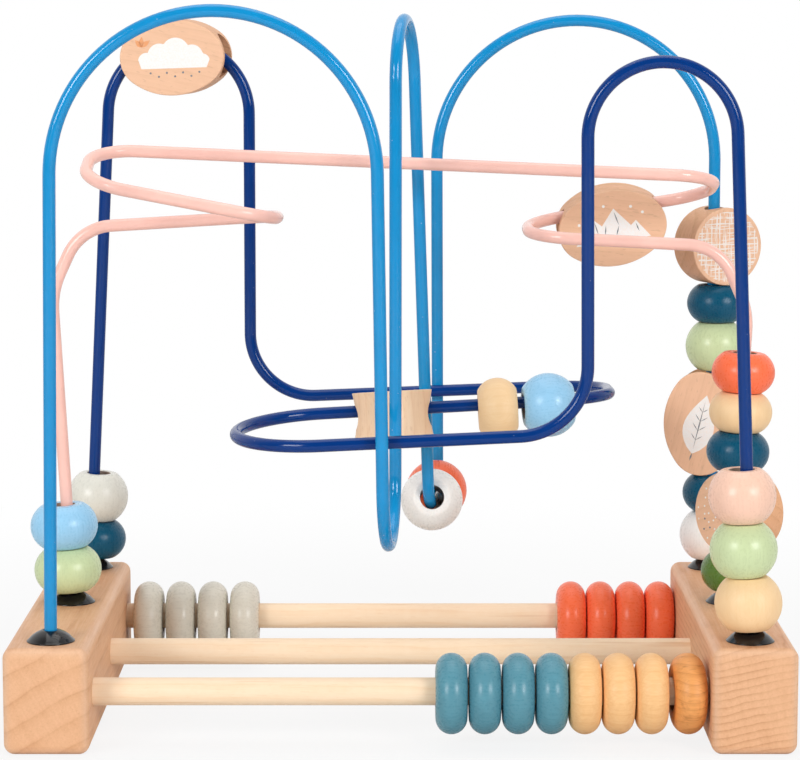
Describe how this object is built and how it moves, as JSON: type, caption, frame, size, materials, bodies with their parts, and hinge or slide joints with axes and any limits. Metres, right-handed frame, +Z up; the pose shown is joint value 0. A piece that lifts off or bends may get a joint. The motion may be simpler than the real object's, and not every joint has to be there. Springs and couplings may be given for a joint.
{
  "type": "bead maze",
  "caption": "Wooden activity toy: end blocks joined by rods with sliding rings, and bent coated wires that carry turned wooden beads and discs.",
  "frame": {"origin": "on the floor, at the middle of the footprint", "axes": "+X along the rods to the right, +Y from the front to the back, +Z up"},
  "size_m": [0.297, 0.175, 0.2749],
  "materials": {
    "beech": "bare, sanded",
    "maple": "bare, sanded",
    "black": "glossy",
    "light_blue": "glossy coating",
    "dark_blue": "glossy coating",
    "pink": "glossy coating",
    "grey": "satin paint on turned wood",
    "coral": "satin paint on turned wood",
    "dusty_teal": "satin paint on turned wood",
    "natural": "clear satin lacquer",
    "amber": "clear satin lacquer",
    "teal": "satin paint on turned wood",
    "pale_green": "satin paint on turned wood",
    "pale_blue": "satin paint on turned wood",
    "white": "satin paint on turned wood",
    "pale_pink": "satin paint on turned wood",
    "moss": "satin paint on turned wood"
  },
  "bodies": {
    "base": {"left_block": "beech", "right_block": "beech", "front_rod": "maple", "middle_rod": "maple", "back_rod": "maple", "left_front_collar": "black", "left_middle_collar": "black", "left_back_collar": "black", "right_front_collar": "black", "right_middle_collar": "black", "right_back_collar": "black", "light_wire": "light_blue", "dark_wire": "dark_blue", "pink_wire": "pink"},
    "grey_ring_1": {"grey_ring_1": "grey"},
    "grey_ring_2": {"grey_ring_2": "grey"},
    "grey_ring_3": {"grey_ring_3": "grey"},
    "grey_ring_4": {"grey_ring_4": "grey"},
    "coral_ring_1": {"coral_ring_1": "coral"},
    "coral_ring_2": {"coral_ring_2": "coral"},
    "coral_ring_3": {"coral_ring_3": "coral"},
    "coral_ring_4": {"coral_ring_4": "coral"},
    "front_ring_1": {"front_ring_1": "amber"},
    "front_ring_2": {"front_ring_2": "natural"},
    "front_ring_3": {"front_ring_3": "natural"},
    "front_ring_4": {"front_ring_4": "natural"},
    "front_ring_5": {"front_ring_5": "dusty_teal"},
    "front_ring_6": {"front_ring_6": "dusty_teal"},
    "front_ring_7": {"front_ring_7": "dusty_teal"},
    "front_ring_8": {"front_ring_8": "dusty_teal"},
    "left_middle_bead_1": {"left_middle_bead_1": "pale_green"},
    "left_middle_bead_2": {"left_middle_bead_2": "pale_blue"},
    "left_back_bead_1": {"left_back_bead_1": "teal"},
    "left_back_bead_2": {"left_back_bead_2": "white"},
    "right_front_bead_1": {"right_front_bead_1": "natural"},
    "right_front_bead_2": {"right_front_bead_2": "pale_green"},
    "right_front_bead_3": {"right_front_bead_3": "pale_pink"},
    "right_middle_bead_1": {"right_middle_bead_1": "moss"},
    "right_middle_bead_2": {"right_middle_bead_2": "beech"},
    "right_middle_bead_3": {"right_middle_bead_3": "teal"},
    "right_middle_bead_4": {"right_middle_bead_4": "natural"},
    "right_middle_bead_5": {"right_middle_bead_5": "coral"},
    "right_back_bead_1": {"right_back_bead_1": "white"},
    "right_back_bead_2": {"right_back_bead_2": "teal"},
    "right_back_bead_3": {"right_back_bead_3": "beech"},
    "right_back_bead_4": {"right_back_bead_4": "pale_green"},
    "right_back_bead_5": {"right_back_bead_5": "teal"},
    "right_back_bead_6": {"right_back_bead_6": "beech"},
    "strand_spool": {"strand_spool": "beech"},
    "strand_bead": {"strand_bead": "natural"},
    "strand_ball": {"strand_ball": "pale_blue"},
    "arch_disc": {"arch_disc": "beech"},
    "loop_disc": {"loop_disc": "beech"},
    "dip_ball_front": {"dip_ball_front": "white"},
    "dip_ball_back": {"dip_ball_back": "coral"}
  },
  "joints": [
    {"name": "grey_ring_1_slide", "type": "slide", "parent": "base", "child": "grey_ring_1", "axis": [1, 0, 0], "range_m": [0, 0.015]},
    {"name": "grey_ring_2_slide", "type": "slide", "parent": "grey_ring_1", "child": "grey_ring_2", "axis": [1, 0, 0], "range_m": [0, 0.015]},
    {"name": "grey_ring_3_slide", "type": "slide", "parent": "grey_ring_2", "child": "grey_ring_3", "axis": [1, 0, 0], "range_m": [0, 0.015]},
    {"name": "grey_ring_4_slide", "type": "slide", "parent": "grey_ring_3", "child": "grey_ring_4", "axis": [1, 0, 0], "range_m": [0, 0.015]},
    {"name": "coral_ring_1_slide", "type": "slide", "parent": "base", "child": "coral_ring_1", "axis": [-1, 0, 0], "range_m": [0, 0.015]},
    {"name": "coral_ring_2_slide", "type": "slide", "parent": "coral_ring_1", "child": "coral_ring_2", "axis": [-1, 0, 0], "range_m": [0, 0.015]},
    {"name": "coral_ring_3_slide", "type": "slide", "parent": "coral_ring_2", "child": "coral_ring_3", "axis": [-1, 0, 0], "range_m": [0, 0.015]},
    {"name": "coral_ring_4_slide", "type": "slide", "parent": "coral_ring_3", "child": "coral_ring_4", "axis": [-1, 0, 0], "range_m": [0, 0.015]},
    {"name": "front_ring_1_slide", "type": "slide", "parent": "base", "child": "front_ring_1", "axis": [-1, 0, 0], "range_m": [0, 0.0155]},
    {"name": "front_ring_2_slide", "type": "slide", "parent": "front_ring_1", "child": "front_ring_2", "axis": [-1, 0, 0], "range_m": [0, 0.0155]},
    {"name": "front_ring_3_slide", "type": "slide", "parent": "front_ring_2", "child": "front_ring_3", "axis": [-1, 0, 0], "range_m": [0, 0.0155]},
    {"name": "front_ring_4_slide", "type": "slide", "parent": "front_ring_3", "child": "front_ring_4", "axis": [-1, 0, 0], "range_m": [0, 0.0155]},
    {"name": "front_ring_5_slide", "type": "slide", "parent": "front_ring_4", "child": "front_ring_5", "axis": [-1, 0, 0], "range_m": [0, 0.0155]},
    {"name": "front_ring_6_slide", "type": "slide", "parent": "front_ring_5", "child": "front_ring_6", "axis": [-1, 0, 0], "range_m": [0, 0.0155]},
    {"name": "front_ring_7_slide", "type": "slide", "parent": "front_ring_6", "child": "front_ring_7", "axis": [-1, 0, 0], "range_m": [0, 0.0155]},
    {"name": "front_ring_8_slide", "type": "slide", "parent": "front_ring_7", "child": "front_ring_8", "axis": [-1, 0, 0], "range_m": [0, 0.0155]},
    {"name": "left_middle_bead_1_slide", "type": "slide", "parent": "base", "child": "left_middle_bead_1", "axis": [-0.055, 0, 0.9985], "range_m": [0, 0.034]},
    {"name": "left_middle_bead_2_slide", "type": "slide", "parent": "left_middle_bead_1", "child": "left_middle_bead_2", "axis": [-0.055, 0, 0.9985], "range_m": [0, 0.034]},
    {"name": "left_back_bead_1_slide", "type": "slide", "parent": "base", "child": "left_back_bead_1", "axis": [0.0521, -0.0102, 0.9986], "range_m": [0, 0.072]},
    {"name": "left_back_bead_2_slide", "type": "slide", "parent": "left_back_bead_1", "child": "left_back_bead_2", "axis": [0.0521, -0.0102, 0.9986], "range_m": [0, 0.072]},
    {"name": "right_front_bead_1_slide", "type": "slide", "parent": "base", "child": "right_front_bead_1", "axis": [-0.0391, 0.0105, 0.9992], "range_m": [0, 0.038]},
    {"name": "right_front_bead_2_slide", "type": "slide", "parent": "right_front_bead_1", "child": "right_front_bead_2", "axis": [-0.0391, 0.0105, 0.9992], "range_m": [0, 0.038]},
    {"name": "right_front_bead_3_slide", "type": "slide", "parent": "right_front_bead_2", "child": "right_front_bead_3", "axis": [-0.0391, 0.0105, 0.9992], "range_m": [0, 0.038]},
    {"name": "right_middle_bead_1_slide", "type": "slide", "parent": "base", "child": "right_middle_bead_1", "axis": [0.0541, 0, 0.9985], "range_m": [0, 0.001]},
    {"name": "right_middle_bead_2_turn", "type": "hinge", "parent": "right_middle_bead_1", "child": "right_middle_bead_2", "pos_m": [0.13158, 0, 0.077], "axis": [0.0541, 0, 0.9985], "continuous": true},
    {"name": "right_middle_bead_3_turn", "type": "hinge", "parent": "right_middle_bead_1", "child": "right_middle_bead_3", "pos_m": [0.13288, 0, 0.101], "axis": [0.0541, 0, 0.9985], "continuous": true},
    {"name": "right_middle_bead_4_turn", "type": "hinge", "parent": "right_middle_bead_3", "child": "right_middle_bead_4", "pos_m": [0.13375, 0, 0.117], "axis": [0.0541, 0, 0.9985], "continuous": true},
    {"name": "right_middle_bead_5_slide", "type": "slide", "parent": "right_middle_bead_4", "child": "right_middle_bead_5", "axis": [0.0541, 0, 0.9985], "range_m": [0, 0.003]},
    {"name": "right_back_bead_1_slide", "type": "slide", "parent": "base", "child": "right_back_bead_1", "axis": [0, 0, 1], "range_m": [0, 0.0032]},
    {"name": "right_back_bead_2_slide", "type": "slide", "parent": "right_back_bead_1", "child": "right_back_bead_2", "axis": [0, 0, 1], "range_m": [0, 0.0032]},
    {"name": "right_back_bead_3_turn", "type": "hinge", "parent": "right_back_bead_2", "child": "right_back_bead_3", "pos_m": [0.13, 0.072, 0.103], "axis": [0, 0, 1], "continuous": true},
    {"name": "right_back_bead_4_slide", "type": "slide", "parent": "right_back_bead_2", "child": "right_back_bead_4", "axis": [0, 0, 1], "range_m": [0, 0.0032]},
    {"name": "right_back_bead_5_slide", "type": "slide", "parent": "right_back_bead_4", "child": "right_back_bead_5", "axis": [0, 0, 1], "range_m": [0, 0.0032]},
    {"name": "right_back_bead_6_turn", "type": "hinge", "parent": "right_back_bead_5", "child": "right_back_bead_6", "pos_m": [0.13, 0.072, 0.177], "axis": [0, 0, 1], "continuous": true},
    {"name": "strand_spool_slide", "type": "slide", "parent": "base", "child": "strand_spool", "axis": [0.9985, 0, 0.0554], "range_m": [-0.008, 0.008]},
    {"name": "strand_bead_slide", "type": "slide", "parent": "base", "child": "strand_bead", "axis": [0.9985, 0, 0.0554], "range_m": [-0.008, 0]},
    {"name": "strand_ball_slide", "type": "slide", "parent": "strand_bead", "child": "strand_ball", "axis": [0.9985, 0, 0.0554], "range_m": [-0.001, 0]},
    {"name": "arch_disc_turn", "type": "hinge", "parent": "base", "child": "arch_disc", "pos_m": [-0.09136, 0.06949, 0.23041], "axis": [0.0127, 0.9999, 0], "range_deg": [-18, 18]},
    {"name": "loop_disc_turn", "type": "hinge", "parent": "base", "child": "loop_disc", "pos_m": [0.08492, 0.03996, 0.19298], "axis": [0.9882, 0, 0.1531], "continuous": true},
    {"name": "dip_ball_front_turn", "type": "hinge", "parent": "base", "child": "dip_ball_front", "pos_m": [0.01276, 0.03639, 0.07494], "axis": [0, -0.9659, 0.2588], "continuous": true},
    {"name": "dip_ball_back_turn", "type": "hinge", "parent": "base", "child": "dip_ball_back", "pos_m": [0.01491, 0.05958, 0.07494], "axis": [0, -0.9659, -0.2588], "continuous": true}
  ]
}
